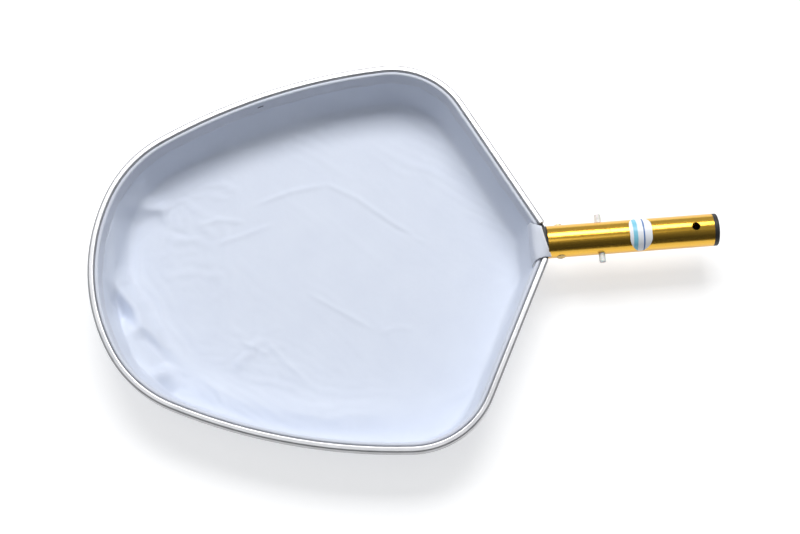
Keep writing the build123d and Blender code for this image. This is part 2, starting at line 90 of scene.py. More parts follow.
class Shade:
    """A node material that is put together step by step."""

    def __init__(self, name: str, colour: Colour, roughness: float, metallic: float = 0.0) -> None:
        """Start a plain material.

        Args:
            name: the material's name.
            colour: base colour, linear.
            roughness: roughness all over, until a pattern drives it.
            metallic: 1 for bare metal.
        """
        self.material = bpy.data.materials.new(name)
        self.material.use_nodes = True
        self.tree = self.material.node_tree
        self.shader = self.tree.nodes["Principled BSDF"]
        self.shader.inputs["Base Color"].default_value = (*colour, 1.0)
        self.shader.inputs["Roughness"].default_value = roughness
        self.shader.inputs["Metallic"].default_value = metallic
        self.material.diffuse_color = (*colour, 1.0)
        self.height: Optional[bpy.types.NodeSocket] = None

    def node(self, kind: str, **values: object) -> bpy.types.Node:
        """Add a node and set its properties.

        Args:
            kind: the node's class name.
            values: properties of the node.

        Returns:
            The new node.
        """
        made = self.tree.nodes.new(kind)
        for key, value in values.items():
            setattr(made, key, value)
        return made

    def link(self, source: bpy.types.NodeSocket, target: bpy.types.NodeSocket) -> None:
        """Join two sockets."""
        self.tree.links.new(source, target)

    def place(self, stretch: Sequence[float] = (1, 1, 1), laid: bool = False) -> bpy.types.NodeSocket:
        """The place on the piece that a pattern reads.

        Args:
            stretch: how much finer the pattern is along each axis.
            laid: read the cloth's own flat cut instead of the part's frame.

        Returns:
            The vector socket.
        """
        where = self.node("ShaderNodeTexCoord")
        mapping = self.node("ShaderNodeMapping")
        mapping.inputs["Scale"].default_value = stretch
        self.link(where.outputs["UV" if laid else "Object"], mapping.inputs["Vector"])
        return mapping.outputs["Vector"]

    def noise(self, scale: float, detail: float = 3.0, stretch: Sequence[float] = (1, 1, 1),
              laid: bool = False) -> bpy.types.NodeSocket:
        """A soft random pattern from 0 to 1."""
        made = self.node("ShaderNodeTexNoise")
        made.inputs["Scale"].default_value = scale
        made.inputs["Detail"].default_value = detail
        self.link(self.place(stretch, laid), made.inputs["Vector"])
        return made.outputs["Fac"]

    def bands(self, pitch: float, axis: str, laid: bool = False) -> bpy.types.NodeSocket:
        """Even bands across an axis, pitch metres apart, from 0 to 1."""
        made = self.node("ShaderNodeTexWave", wave_type="BANDS", bands_direction=axis)
        made.inputs["Scale"].default_value = math.pi / (10.0 * pitch)
        made.inputs["Distortion"].default_value = 0.0
        self.link(self.place(laid=laid), made.inputs["Vector"])
        return made.outputs["Fac"]

    def mix_numbers(self, first: bpy.types.NodeSocket, second: bpy.types.NodeSocket,
                    operation: str = "MULTIPLY") -> bpy.types.NodeSocket:
        """Join two patterns with one sum."""
        made = self.node("ShaderNodeMath", operation=operation)
        self.link(first, made.inputs[0])
        self.link(second, made.inputs[1])
        return made.outputs[0]

    def spread(self, pattern: bpy.types.NodeSocket, low: float, high: float,
               start: float = 0.3, end: float = 0.7) -> bpy.types.NodeSocket:
        """Stretch a pattern's middle to run from low to high."""
        made = self.node("ShaderNodeMapRange")
        for socket, value in (("From Min", start), ("From Max", end), ("To Min", low), ("To Max", high)):
            made.inputs[socket].default_value = value
        self.link(pattern, made.inputs["Value"])
        return made.outputs["Result"]

    def tint(self, pattern: bpy.types.NodeSocket, first: Colour, second: Colour,
             start: float = 0.3, end: float = 0.7) -> None:
        """Colour the piece from first to second by a pattern."""
        ramp = self.node("ShaderNodeValToRGB")
        ramp.color_ramp.elements[0].position, ramp.color_ramp.elements[1].position = start, end
        ramp.color_ramp.elements[0].color = (*first, 1.0)
        ramp.color_ramp.elements[1].color = (*second, 1.0)
        self.link(pattern, ramp.inputs["Fac"])
        self.link(ramp.outputs["Color"], self.shader.inputs["Base Color"])

    def rough(self, pattern: bpy.types.NodeSocket, low: float, high: float) -> None:
        """Vary the roughness between low and high by a pattern."""
        self.link(self.spread(pattern, low, high), self.shader.inputs["Roughness"])

    def relief(self, pattern: bpy.types.NodeSocket, depth: float, strength: float = 1.0) -> None:
        """Raise the surface by a pattern, on top of any relief it has.

        Args:
            pattern: the height from 0 to 1.
            depth: the height in metres that 1 stands for.
            strength: how much of the relief shows.
        """
        bump = self.node("ShaderNodeBump")
        bump.inputs["Strength"].default_value = strength
        bump.inputs["Distance"].default_value = depth
        self.link(pattern, bump.inputs["Height"])
        if self.height is not None:
            self.link(self.height, bump.inputs["Normal"])
        self.height = bump.outputs["Normal"]
        self.link(self.height, self.shader.inputs["Normal"])

    def constant(self, **values: float) -> None:
        """Set sockets that are the same all over, such as Sheen_Weight=0.3."""
        for key, value in values.items():
            self.shader.inputs[key.replace("_", " ")].default_value = value


@dataclass(frozen=True)
class SatinRail:
    """Anodised aluminium extrusion with a soft, even shine."""

    colour: Colour = (0.46, 0.46, 0.47)
    worn: Colour = (0.54, 0.54, 0.55)

    def material(self) -> bpy.types.Material:
        """Build the finish."""
        shade = Shade("satin_rail", self.colour, 0.3, 0.85)
        cloud = shade.noise(60.0, 4.0)
        shade.tint(cloud, self.colour, self.worn)
        shade.rough(shade.noise(900.0, 3.0), 0.30, 0.42)
        shade.relief(shade.noise(2600.0, 2.0), 0.00002, 0.35)
        return shade.material


@dataclass(frozen=True)
class GoldTube:
    """Gold anodised drawn tube: fine lines along it and a bright, slightly soft shine."""

    colour: Colour = (0.86, 0.50, 0.055)
    deep: Colour = (0.76, 0.42, 0.040)

    def material(self) -> bpy.types.Material:
        """Build the finish."""
        shade = Shade("gold_anodised_tube", self.colour, 0.2, 1.0)
        drawn = shade.noise(1.0, 4.0, (14.0, 1500.0, 1500.0))
        shade.tint(drawn, self.deep, self.colour)
        shade.rough(drawn, 0.17, 0.27)
        shade.relief(drawn, 0.00001, 0.5)
        shade.relief(shade.noise(320.0, 2.0), 0.00002, 0.2)
        shade.constant(Coat_Weight=0.45, Coat_Roughness=0.1)
        return shade.material


@dataclass(frozen=True)
class Moulding:
    """Moulded nylon with a fine spark-eroded texture."""

    name: str
    colour: Colour
    roughness: float = 0.45
    soft: float = 0.0

    def material(self) -> bpy.types.Material:
        """Build the finish."""
        shade = Shade(self.name, self.colour, self.roughness)
        paler = tuple(min(1.0, c * 1.25 + 0.004) for c in self.colour)
        shade.tint(shade.noise(220.0, 3.0), self.colour, paler)
        shade.rough(shade.noise(1500.0, 2.0), self.roughness - 0.07, self.roughness + 0.08)
        shade.relief(shade.noise(3200.0, 2.0), 0.00003, 0.5)
        if self.soft:
            shade.constant(Subsurface_Weight=self.soft, Subsurface_Scale=0.002)
        return shade.material


@dataclass(frozen=True)
class PlainMetal:
    """Small metal parts: zinc plate, stainless strip or soft aluminium."""

    name: str
    colour: Colour
    roughness: float = 0.32
    grain: Sequence[float] = (1, 1, 1)

    def material(self) -> bpy.types.Material:
        """Build the finish."""
        shade = Shade(self.name, self.colour, self.roughness, 1.0)
        mottled = shade.noise(500.0, 3.0, self.grain)
        shade.tint(mottled, tuple(0.82 * c for c in self.colour), self.colour)
        shade.rough(mottled, self.roughness - 0.08, self.roughness + 0.12)
        shade.relief(mottled, 0.00002, 0.4)
        return shade.material


@dataclass(frozen=True)
class Cloth:
    """Woven polyester: crossed threads, a little sheen and faint unevenness of colour."""

    name: str
    colour: Colour
    shaded: Colour
    weave: Weave
    sheen: float = 0.25
    roughness: float = 0.72

    def material(self) -> bpy.types.Material:
        """Build the finish."""
        shade = Shade(self.name, self.colour, self.roughness)
        shade.tint(shade.noise(28.0, 4.0, laid=True), self.shaded, self.colour, 0.25, 0.75)
        pitch = self.weave.value
        threads = shade.mix_numbers(shade.bands(pitch, "X", True), shade.bands(pitch, "Y", True), "ADD")
        shade.relief(threads, 0.00012, 0.35)
        shade.relief(shade.noise(260.0, 3.0, laid=True), 0.0002, 0.35)
        shade.rough(shade.noise(700.0, 2.0, laid=True), self.roughness - 0.06, self.roughness + 0.06)
        shade.constant(Sheen_Weight=self.sheen, Sheen_Roughness=0.4)
        return shade.material


@dataclass(frozen=True)
class PrintedFilm:
    """White label film with two plain printed bands around the tube."""

    film: Colour = (0.86, 0.88, 0.91)
    pale_band: Colour = (0.22, 0.58, 0.74)
    dark_band: Colour = (0.07, 0.17, 0.42)
    centre_x: float = 0.2268

    def band(self, shade: Shade, offset: float, half_width: float) -> bpy.types.NodeSocket:
        """A stripe around the tube.

        Args:
            shade: the material it belongs to.
            offset: its middle, in metres along the tube from the label's middle.
            half_width: half its width, in metres.

        Returns:
            1 inside the stripe and 0 outside.
        """
        split = shade.node("ShaderNodeSeparateXYZ")
        shade.link(shade.place(), split.inputs[0])
        away = shade.node("ShaderNodeMath", operation="SUBTRACT")
        shade.link(split.outputs["X"], away.inputs[0])
        away.inputs[1].default_value = self.centre_x + offset
        size = shade.node("ShaderNodeMath", operation="ABSOLUTE")
        shade.link(away.outputs[0], size.inputs[0])
        return shade.spread(size.outputs[0], 1.0, 0.0, half_width - 0.0001, half_width + 0.0001)

    def material(self) -> bpy.types.Material:
        """Build the finish."""
        shade = Shade("printed_film", self.film, 0.3)
        under: Optional[bpy.types.NodeSocket] = None
        bands = ((-0.0052, 0.0021, self.pale_band), (0.0030, 0.0007, self.dark_band))
        for offset, half_width, colour in bands:
            mix = shade.node("ShaderNodeMix", data_type="RGBA")
            shade.link(self.band(shade, offset, half_width), mix.inputs["Factor"])
            if under is None:
                mix.inputs[6].default_value = (*self.film, 1.0)
            else:
                shade.link(under, mix.inputs[6])
            mix.inputs[7].default_value = (*colour, 1.0)
            under = mix.outputs[2]
        shade.link(under, shade.shader.inputs["Base Color"])
        shade.rough(shade.noise(400.0, 2.0), 0.26, 0.38)
        shade.relief(shade.noise(900.0, 2.0), 0.00002, 0.3)
        return shade.material


# ---------------------------------------------------------------- shapes


@dataclass(frozen=True)
class RimStop:
    """One place on the rail's centre-line: its plan point, the way outwards and the run up to it."""

    spot: Vector
    outward: Vector
    run: float


@dataclass(frozen=True)
class RimLine:
    """The rail's centre-line in plan: a straight leg, arcs round to the nose, and the same on the left."""

    mouth_x: float
    height: float
    leg_angle: float = 63.1
    side_step: float = 0.0057
    leg_run: float = 0.159
    leg_cut: float = 0.013
    arcs: tuple[tuple[float, float], ...] = ((0.0783, 66.1), (0.554, 23.8), (0.1167, 37.2))

    def right_half(self, start: float, pitch: float) -> list[RimStop]:
        """Stops from a place on the right leg to the middle of the nose.

        Args:
            start: metres along the leg from the tube's mouth.
            pitch: the largest step between stops.

        Returns:
            The stops in order.
        """
        turn = math.radians(180.0 - self.leg_angle)
        along = Vector((math.cos(turn), math.sin(turn)))
        spot = Vector((self.mouth_x, self.side_step)) + along * start
        stops = [RimStop(spot, Vector((along.y, -along.x)), 0.0)]
        steps = max(1, math.ceil((self.leg_run - start) / pitch))
        for k in range(1, steps + 1):
            here = (self.leg_run - start) * k / steps
            stops.append(RimStop(spot + along * here, stops[0].outward, here))
        for radius, degrees in (*self.arcs, (None, None)):
            last = stops[-1]
            bend = math.radians(degrees) if degrees else math.radians(270.0) - turn
            radius = radius or last.spot.y / math.sin(bend)
            centre = last.spot - last.outward * radius
            steps = max(2, math.ceil(radius * bend / pitch))
            for k in range(1, steps + 1):
                way = turn + bend * k / steps
                outward = Vector((math.sin(way), -math.cos(way)))
                run = last.run + radius * bend * k / steps
                stops.append(RimStop(centre + outward * radius, outward, run))
            turn += bend
        return stops

    def stops(self, start: float, pitch: float) -> list[RimStop]:
        """Stops along the whole rail, from the right leg's start round the nose to the left leg's."""
        half = self.right_half(start, pitch)
        whole = half[-1].run * 2
        other = [RimStop(Vector((s.spot.x, -s.spot.y)), Vector((s.outward.x, -s.outward.y)), whole - s.run)
                 for s in reversed(half[:-1])]
        return half + other

    def place(self, stop: RimStop, out: float, up: float) -> Vector:
        """A point beside a stop: out from the centre-line and up from the rail's mid-height."""
        flat = stop.spot + stop.outward * out
        return Vector((flat.x, flat.y, self.height + up))


def make_mesh(name: str, points: Sequence[Sequence[float]], faces: Sequence[Sequence[int]],
              laid: Optional[Sequence[Sequence[float]]] = None) -> bpy.types.Object:
    """Make a smooth-shaded mesh object.

    Args:
        name: the piece's name.
        points: its corners in the part's frame.
        faces: corner numbers of each face.
        laid: each corner's place on the flat cut, in metres, for a cloth.

    Returns:
        The object, linked to the scene.
    """
    mesh = bpy.data.meshes.new(name)
    mesh.from_pydata([tuple(p) for p in points], [], [tuple(f) for f in faces])
    if laid is not None:
        layer = mesh.uv_layers.new(name="cut")
        numbers = np.zeros(len(mesh.loops), np.int32)
        mesh.loops.foreach_get("vertex_index", numbers)
        layer.data.foreach_set("uv", np.asarray(laid, float)[numbers].astype(np.float32).ravel())
    mesh.polygons.foreach_set("use_smooth", [True] * len(mesh.polygons))
    mesh.update()
    piece = bpy.data.objects.new(name, mesh)
    bpy.context.scene.collection.objects.link(piece)
    return piece


def grid_faces(rows: int, columns: int, closed: bool = False) -> list[tuple[int, int, int, int]]:
    """Faces of a grid of points stored row by row.

    Args:
        rows: number of rows.
        columns: number of points in a row.
        closed: join each row's end to its start.

    Returns:
        Four corner numbers for each face.
    """
    faces = []
    for r in range(rows - 1):
        for c in range(columns if closed else columns - 1):
            d = (c + 1) % columns
            faces.append((r * columns + c, r * columns + d, (r + 1) * columns + d, (r + 1) * columns + c))
    return faces


def bake_modifiers(piece: bpy.types.Object) -> None:
    """Put the result of a piece's modifiers into its mesh and take the modifiers off."""
    graph = bpy.context.evaluated_depsgraph_get()
    done = bpy.data.meshes.new_from_object(piece.evaluated_get(graph), preserve_all_data_layers=True,
                                           depsgraph=graph)
    piece.modifiers.clear()
    old, piece.data = piece.data, done
    bpy.data.meshes.remove(old)


def points_of(piece: bpy.types.Object) -> np.ndarray:
    """A mesh's corners as an array."""
    flat = np.zeros(len(piece.data.vertices) * 3, np.float32)
    piece.data.vertices.foreach_get("co", flat)
    return flat.reshape(-1, 3).astype(float)


def set_points(piece: bpy.types.Object, points: np.ndarray) -> None:
    """Move a mesh's corners to the points of an array."""
    piece.data.vertices.foreach_set("co", points.astype(np.float32).ravel())
    piece.data.update()


def dress(piece: bpy.types.Object, material: bpy.types.Material) -> None:
    """Give a piece or a CAD node one material."""
    piece.data.materials.clear()
    piece.data.materials.append(material)


def fit_to_head(piece: bpy.types.Object, slot: str, *nodes: str) -> None:
    """Let a new piece ride on the net's head.

    Args:
        piece: the piece.
        slot: not used.
        nodes: the CAD nodes it stands for.
    """
    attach(piece, HEAD)
    if nodes:
        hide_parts(*nodes)
    LOG.info("%s: %d faces", piece.name, len(piece.data.polygons))


# ---------------------------------------------------------------- hem


@dataclass
class Hem:
    """The hem tape: a roll beside the rail's top, a band hanging inside it, and its row of stitches."""

    rim: RimLine
    tape: Cloth
    thread: Cloth
    pitch: float = 0.004
    thickness: float = 0.00045
    top: float = 0.0051
    foot: float = -0.0122
    stitch_row: float = -0.0096
    stitch_pitch: float = 0.0034
    stitch_length: float = 0.0026
    stitch_thickness: float = 0.00028
    outer: list[tuple[float, float]] = field(default_factory=lambda: [
        (0.3, 3.5), (-1.25, 3.5), (-1.35, 4.4), (-1.8, 4.95), (-2.6, 5.1), (-3.5, 5.0),
        (-4.2, 4.5), (-4.6, 3.6), (-4.75, 2.4), (-5.1, -1.0), (-5.5, -5.0), (-5.9, -9.0), (-6.2, -11.7),
        (-6.1, -12.2), (-5.6, -12.3), (-5.5, -11.6), (-5.3, -9.0), (-4.8, -9.0), (-4.7, -12.0), (-4.4, -12.2),
        (-4.2, -11.6), (-3.7, -6.0), (-2.9, -1.0), (-1.9, 0.9), (-1.3, 1.4), (-1.25, 2.4), (0.3, 2.4)])

    def slack(self, run: float) -> float:
        """How far the band's foot wanders from an even line, in metres."""
        return MM * (0.30 * math.sin(run * 71.0) + 0.22 * math.sin(run * 163.0 + 1.3)
                     + 0.12 * math.sin(run * 397.0 + 0.4))

    def point(self, stop: RimStop, out: float, up: float) -> Vector:
        """A point of the tape's section beside a stop, with the band's slack added."""
        share = min(1.0, max(0.0, (self.top - up) / (self.top - self.foot)))
        sideways = self.slack(stop.run) * share
        upwards = 0.4 * self.slack(stop.run + 0.3) * share
        return self.rim.place(stop, out + sideways, up + upwards)

    def build_tape(self) -> bpy.types.Object:
        """Make the tape."""
        stops = self.rim.stops(self.rim.leg_cut + 0.0006, self.pitch)
        section = [(n * MM, z * MM) for n, z in self.outer]
        reach = [0.0]
        for a, b in zip(section, section[1:]):
            reach.append(reach[-1] + math.dist(a, b))
        points, laid = [], []
        for stop in stops:
            for (n, z), across in zip(section, reach):
                points.append(self.point(stop, n, z))
                laid.append((stop.run, across))
        faces = [tuple(reversed(face)) for face in grid_faces(len(stops), len(section))]
        piece = make_mesh("hem_tape_band", points, faces, laid)
        shell = piece.modifiers.new("tape", "SOLIDIFY")
        shell.thickness, shell.offset = self.thickness, -1.0
        dress(piece, self.tape.material())
        fit_to_head(piece, "hem", "hem_tape")
        return piece

    def build_stitches(self) -> bpy.types.Object:
        """Make the row of stitches on the band's inner face."""
        stops = self.rim.stops(self.rim.leg_cut + 0.002, self.stitch_pitch / 2)
        face_out = -0.00595
        points, faces, laid = [], [], []
        around = 5
        for k in range(1, len(stops) - 2, 2):
            centre = self.point(stops[k], face_out, self.stitch_row)
            ahead = (self.point(stops[k + 1], face_out, self.stitch_row) - centre).normalized()
            out3 = Vector((stops[k].outward.x, stops[k].outward.y, 0.0))
            first = len(points)
            for share, size in ((-0.5, 0.45), (-0.2, 1.0), (0.2, 1.0), (0.5, 0.45)):
                for j in range(around):
                    spin = 2 * math.pi * j / around
                    ring = -out3 * math.cos(spin) + Vector((0, 0, 1)) * math.sin(spin)
                    sink = out3 * (0.00012 if abs(share) > 0.4 else -0.00004)
                    points.append(centre + ahead * (share * self.stitch_length) + sink
                                  + ring * (self.stitch_thickness * size))
                    laid.append((stops[k].run + share * self.stitch_length, spin * 0.0001))
            faces += [tuple(first + i for i in f) for f in grid_faces(4, around, closed=True)]
            faces += [tuple(first + i for i in reversed(range(around))),
                      tuple(first + 3 * around + i for i in range(around))]
        piece = make_mesh("hem_stitching", points, faces, laid)
        dress(piece, self.thread.material())
        fit_to_head(piece, "hem")
        return piece

    def build(self) -> None:
        """Make the hem tape and its row of stitches."""
        tape, stitches = self.build_tape(), self.build_stitches()
        length = self.rim.stops(self.rim.leg_cut, self.pitch)[-1].run


# ---------------------------------------------------------------- bag


@dataclass(frozen=True)
class Fold:
    """A ridge or trough in the bag: plan points in mm from the tube's mouth, height and half-width in mm.

    taper_in and taper_out are the shares of its run over which it rises and fades.
    """

    line: tuple[tuple[float, float], ...]
    height: float
    spread: float
    taper_in: float = 0.25
    taper_out: float = 0.25

    def lift(self, plan: np.ndarray) -> np.ndarray:
        """How far the fold lifts each plan point.

        Args:
            plan: points as rows of x and y, in mm from the tube's mouth.

        Returns:
            The lift of each point, in mm.
        """
        corners = np.asarray(self.line, float)
        lengths = np.linalg.norm(np.diff(corners, axis=0), axis=1)
        whole, done = lengths.sum(), 0.0
        nearest = np.full(len(plan), 1e9)
        share = np.zeros(len(plan))
        for a, b, length in zip(corners, corners[1:], lengths):
            t = np.clip(((plan - a) @ (b - a)) / length**2, 0.0, 1.0)
            gap = np.linalg.norm(plan - (a + t[:, None] * (b - a)), axis=1)
            closer = gap < nearest
            nearest[closer] = gap[closer]
            share[closer] = (done + t[closer] * length) / whole
            done += length
        ease = np.clip(share / self.taper_in, 0, 1) * np.clip((1 - share) / self.taper_out, 0, 1)
        ease = ease * ease * (3 - 2 * ease)
        return self.height * ease * np.exp(-0.5 * (nearest / self.spread) ** 2)


def slack_folds() -> list[Fold]:
    """The large folds where the bag's slack lies against the nose and along the left side."""
    return [
        Fold(((-422, 78), (-426, 50), (-427, 22), (-420, -2), (-405, -22), (-396, -40), (-377, -64),
              (-340, -106)), 15.0, 6.0, 0.12, 0.45),
        Fold(((-414, -28), (-408, -58), (-392, -88), (-368, -108)), 17.0, 8.0),
        Fold(((-360, -92), (-322, -118), (-270, -134), (-210, -146), (-150, -148), (-105, -136)),
             8.0, 9.0, 0.15, 0.5),
        Fold(((-420, 100), (-395, 84), (-362, 74)), 9.0, 9.0),
        Fold(((-415, 40), (-385, 46), (-320, 52)), 3.2, 6.0),
        Fold(((-410, 22), (-370, 30), (-310, 22)), 2.6, 6.0),
        Fold(((-400, 2), (-360, 8), (-300, 2)), 2.4, 7.0),
        Fold(((-350, 128), (-300, 150), (-235, 160), (-160, 143)), 5.0, 9.0),
        Fold(((-385, 100), (-340, 96), (-290, 100)), 3.0, 9.0),
        Fold(((-316, -94), (-296, -76), (-283, -57)), 3.6, 4.5),
        Fold(((-330, -40), (-290, -48), (-262, -62)), 1.6, 7.0),
        Fold(((-350, -20), (-310, -22), (-270, -12)), 1.6, 7.0),
    ]


def crease_lines() -> list[Fold]:
    """The fine creases that packing has left in the cloth."""
    return [
        Fold(((-288, 77), (-247, 90), (-203, 96)), 0.8, 1.7),
        Fold(((-212, 97), (-180, 78), (-148, 50), (-100, 14)), 0.9, 1.4, 0.08, 0.4),
        Fold(((-172, 66), (-140, 40), (-112, 28)), -0.6, 1.4),
        Fold(((-240, -15), (-205, -39), (-168, -64)), 0.8, 1.4),
        Fold(((-283, -60), (-262, -86), (-236, -114)), 0.9, 1.7),
        Fold(((-306, -62), (-290, -70), (-276, -80)), 0.8, 1.5),
        Fold(((-345, 60), (-320, 66), (-292, 60)), 0.8, 2.0),
        Fold(((-332, 38), (-300, 46), (-262, 58)), 0.7, 1.8),
        Fold(((-170, -66), (-150, -60), (-132, -64)), 0.5, 1.7),
        Fold(((-372, 60), (-352, 50), (-330, 52)), -0.9, 2.0),
    ]


@dataclass
class Bag:
    """The silt mesh bag: hung from the hem, lying on the floor, slack at the nose and along the left."""

    rim: RimLine
    cloth: Cloth
    across: int = 104
    along: int = 116
    middle_from_mouth: float = -0.215
    front_from_mouth: float = -0.0146
    hem_out: float = -0.0053
    hem_up: float = -0.0102
    foot_step: float = 0.0080
    lie: float = 0.0012
    thickness: float = 0.0003
    sharpen: float = 0.5
    sharp_folds: int = 3
    smooth_rounds: int = 10
    frames: int = 36

    def outline(self) -> tuple[np.ndarray, np.ndarray]:
        """The bag's sewn edge in plan, with the way inwards at each point."""
        stops = self.rim.stops(0.0, 0.003)
        limit = self.rim.mouth_x + self.front_from_mouth
        edge, inward = [], []
        for stop in stops:
            spot = stop.spot + stop.outward * self.hem_out
            if spot.x <= limit:
                edge.append((spot.x, spot.y))
                inward.append((-stop.outward.x, -stop.outward.y))
        y_last = edge[-1][1]
        for k in range(1, 16):
            edge.append((limit, y_last * (1 - 2 * k / 16)))
            inward.append((-1.0, 0.0))
        return np.array(edge), np.array(inward)

    def tray(self) -> tuple[np.ndarray, np.ndarray, np.ndarray]:
        """The bag as cut and sewn, before it hangs.

        Returns:
            Points in the part's frame, places on the flat cut, and each point's share of the way out
            from the middle, all row by row.
        """
        edge, inward = self.outline()
        middle = np.array((self.rim.mouth_x + self.middle_from_mouth, 0.0))
        angle = np.arctan2(*(edge - middle).T[::-1])
        order = np.argsort(angle)
        angle, edge, inward = angle[order], edge[order], inward[order]
        angle = np.concatenate((angle - 2 * np.pi, angle, angle + 2 * np.pi))
        edge, inward = np.tile(edge, (3, 1)), np.tile(inward, (3, 1))
        v, u = np.meshgrid(np.linspace(-1, 1, self.across), np.linspace(-1, 1, self.along), indexing="ij")
        disc = np.stack((u * np.sqrt(1 - v * v / 2), v * np.sqrt(1 - u * u / 2)), axis=-1).reshape(-1, 2)
        share = np.linalg.norm(disc, axis=1)
        way = np.arctan2(disc[:, 1], disc[:, 0])
        rim_at = np.stack([np.interp(way, angle, edge[:, i]) for i in (0, 1)], axis=1)
        in_at = np.stack([np.interp(way, angle, inward[:, i]) for i in (0, 1)], axis=1)
        in_at /= np.linalg.norm(in_at, axis=1)[:, None]
        foot = rim_at + in_at * self.foot_step
        radius = np.linalg.norm(foot - middle, axis=1)
        top = self.rim.height + self.hem_up
        wall = math.hypot(self.foot_step, top - self.lie)
        reach = share * (radius + wall)
        floor_part = np.clip(reach / radius, 0, 1)[:, None]
        climb = np.clip((reach - radius) / wall, 0, 1)[:, None]
        plan = middle + (foot - middle) * floor_part + (rim_at - foot) * climb
        rise = self.lie + (top - self.lie) * climb[:, 0]
        laid = middle + (foot - middle) / radius[:, None] * reach[:, None]
        points = np.concatenate((plan, rise[:, None]), axis=1)
        return points, laid, share

    def rounded(self, points: np.ndarray) -> np.ndarray:
        """Round the tray's foot, leaving its sewn edge where it is."""
        grid = points.reshape(self.across, self.along, 3).copy()
        for _ in range(self.smooth_rounds):
            inner = (grid[:-2, 1:-1] + grid[2:, 1:-1] + grid[1:-1, :-2] + grid[1:-1, 2:]) / 4
            grid[1:-1, 1:-1] = 0.5 * grid[1:-1, 1:-1] + 0.5 * inner
        return grid.reshape(-1, 3)

    def from_mouth(self, points: np.ndarray) -> np.ndarray:
        """Plan places in mm from the tube's mouth."""
        return (points[:, :2] - np.array((self.rim.mouth_x, 0.0))) / MM

    def hang(self, piece: bpy.types.Object, share: np.ndarray) -> None:
        """Let the bag hang from its edge and settle on the floor.

        Args:
            piece: the bag.
            share: each point's share of the way out from the middle.
        """
        pinned = piece.vertex_groups.new(name="sewn_edge")
        loose = piece.vertex_groups.new(name="slack")
        plan = self.from_mouth(points_of(piece))
        ease = np.clip((-plan[:, 0] - 200) / 180, 0, 1) + np.clip((-plan[:, 1] - 60) / 120, 0, 0.6)
        for k, (out, give) in enumerate(zip(share, np.clip(ease, 0, 1))):
            if out > 0.992:
                pinned.add([k], 1.0, "REPLACE")
            loose.add([k], float(give), "REPLACE")
        bpy.ops.mesh.primitive_plane_add(size=2.0)
        ground = bpy.context.object
        ground.modifiers.new("ground", "COLLISION")
        ground.collision.thickness_outer = 0.001
        ground.collision.cloth_friction = 12.0
        cloth = piece.modifiers.new("hang", "CLOTH")
        feel, touch = cloth.settings, cloth.collision_settings
        feel.quality = 7
        feel.mass = 0.15
        feel.tension_stiffness, feel.compression_stiffness = 30.0, 12.0
        feel.shear_stiffness, feel.bending_stiffness = 8.0, 1.2
        feel.tension_damping, feel.compression_damping, feel.shear_damping = 8.0, 8.0, 8.0
        feel.air_damping = 2.0
        feel.vertex_group_mass = "sewn_edge"
        feel.pin_stiffness = 1.0
        feel.shrink_min, feel.vertex_group_shrink = 0.0, "slack"
        feel.shrink_max = -0.03
        touch.collision_quality = 3
        touch.distance_min = 0.0008
        touch.use_self_collision = False
        scene = bpy.context.scene
        cloth.point_cache.frame_start, cloth.point_cache.frame_end = 1, self.frames
        for frame in range(1, self.frames + 1):
            scene.frame_set(frame)
        bake_modifiers(piece)
        scene.frame_set(1)
        bpy.data.objects.remove(ground)

    def build(self) -> bpy.types.Object:
        """Make the bag and let it hang from its edge onto the floor."""
        points, laid, share = self.tray()
        points = self.rounded(points)
        plan = self.from_mouth(points)
        lift = sum(fold.lift(plan) for fold in slack_folds())
        calm = np.clip((1 - share) / 0.05, 0, 1)
        points[:, 2] += lift * MM * calm
        piece = make_mesh("net_bag_cloth", points, grid_faces(self.across, self.along), laid)
        self.hang(piece, share)
        finer = piece.modifiers.new("finer", "SUBSURF")
        finer.levels = finer.render_levels = 1
        bake_modifiers(piece)
        points = points_of(piece)
        plan = self.from_mouth(points)
        normals = np.zeros(len(points) * 3, np.float32)
        piece.data.vertices.foreach_get("normal", normals)
        normals = normals.reshape(-1, 3)
        normals *= np.sign(normals[:, 2:3] + 1e-9)
        lift = sum(crease.lift(plan) for crease in crease_lines())
        points += normals * (lift * MM)[:, None]
        ridges = self.sharpen * sum(fold.lift(plan) for fold in slack_folds()[:self.sharp_folds])
        points[:, 2] += ridges * MM * np.clip(1 - points[:, 2] / (0.5 * self.rim.height), 0, 1)
        gap = points[:, 2].min() - self.thickness / 2
        points[:, 2] -= gap * np.clip(1 - points[:, 2] / self.rim.height, 0, 1)
        points[:, 2] = np.maximum(points[:, 2], self.thickness / 2)
        set_points(piece, points)
        shell = piece.modifiers.new("cloth", "SOLIDIFY")
        shell.thickness = self.thickness
        shell.offset = 0.0
        dress(piece, self.cloth.material())
        fit_to_head(piece, "mesh", "net_bag")
        return piece


# ---------------------------------------------------------------- gusset


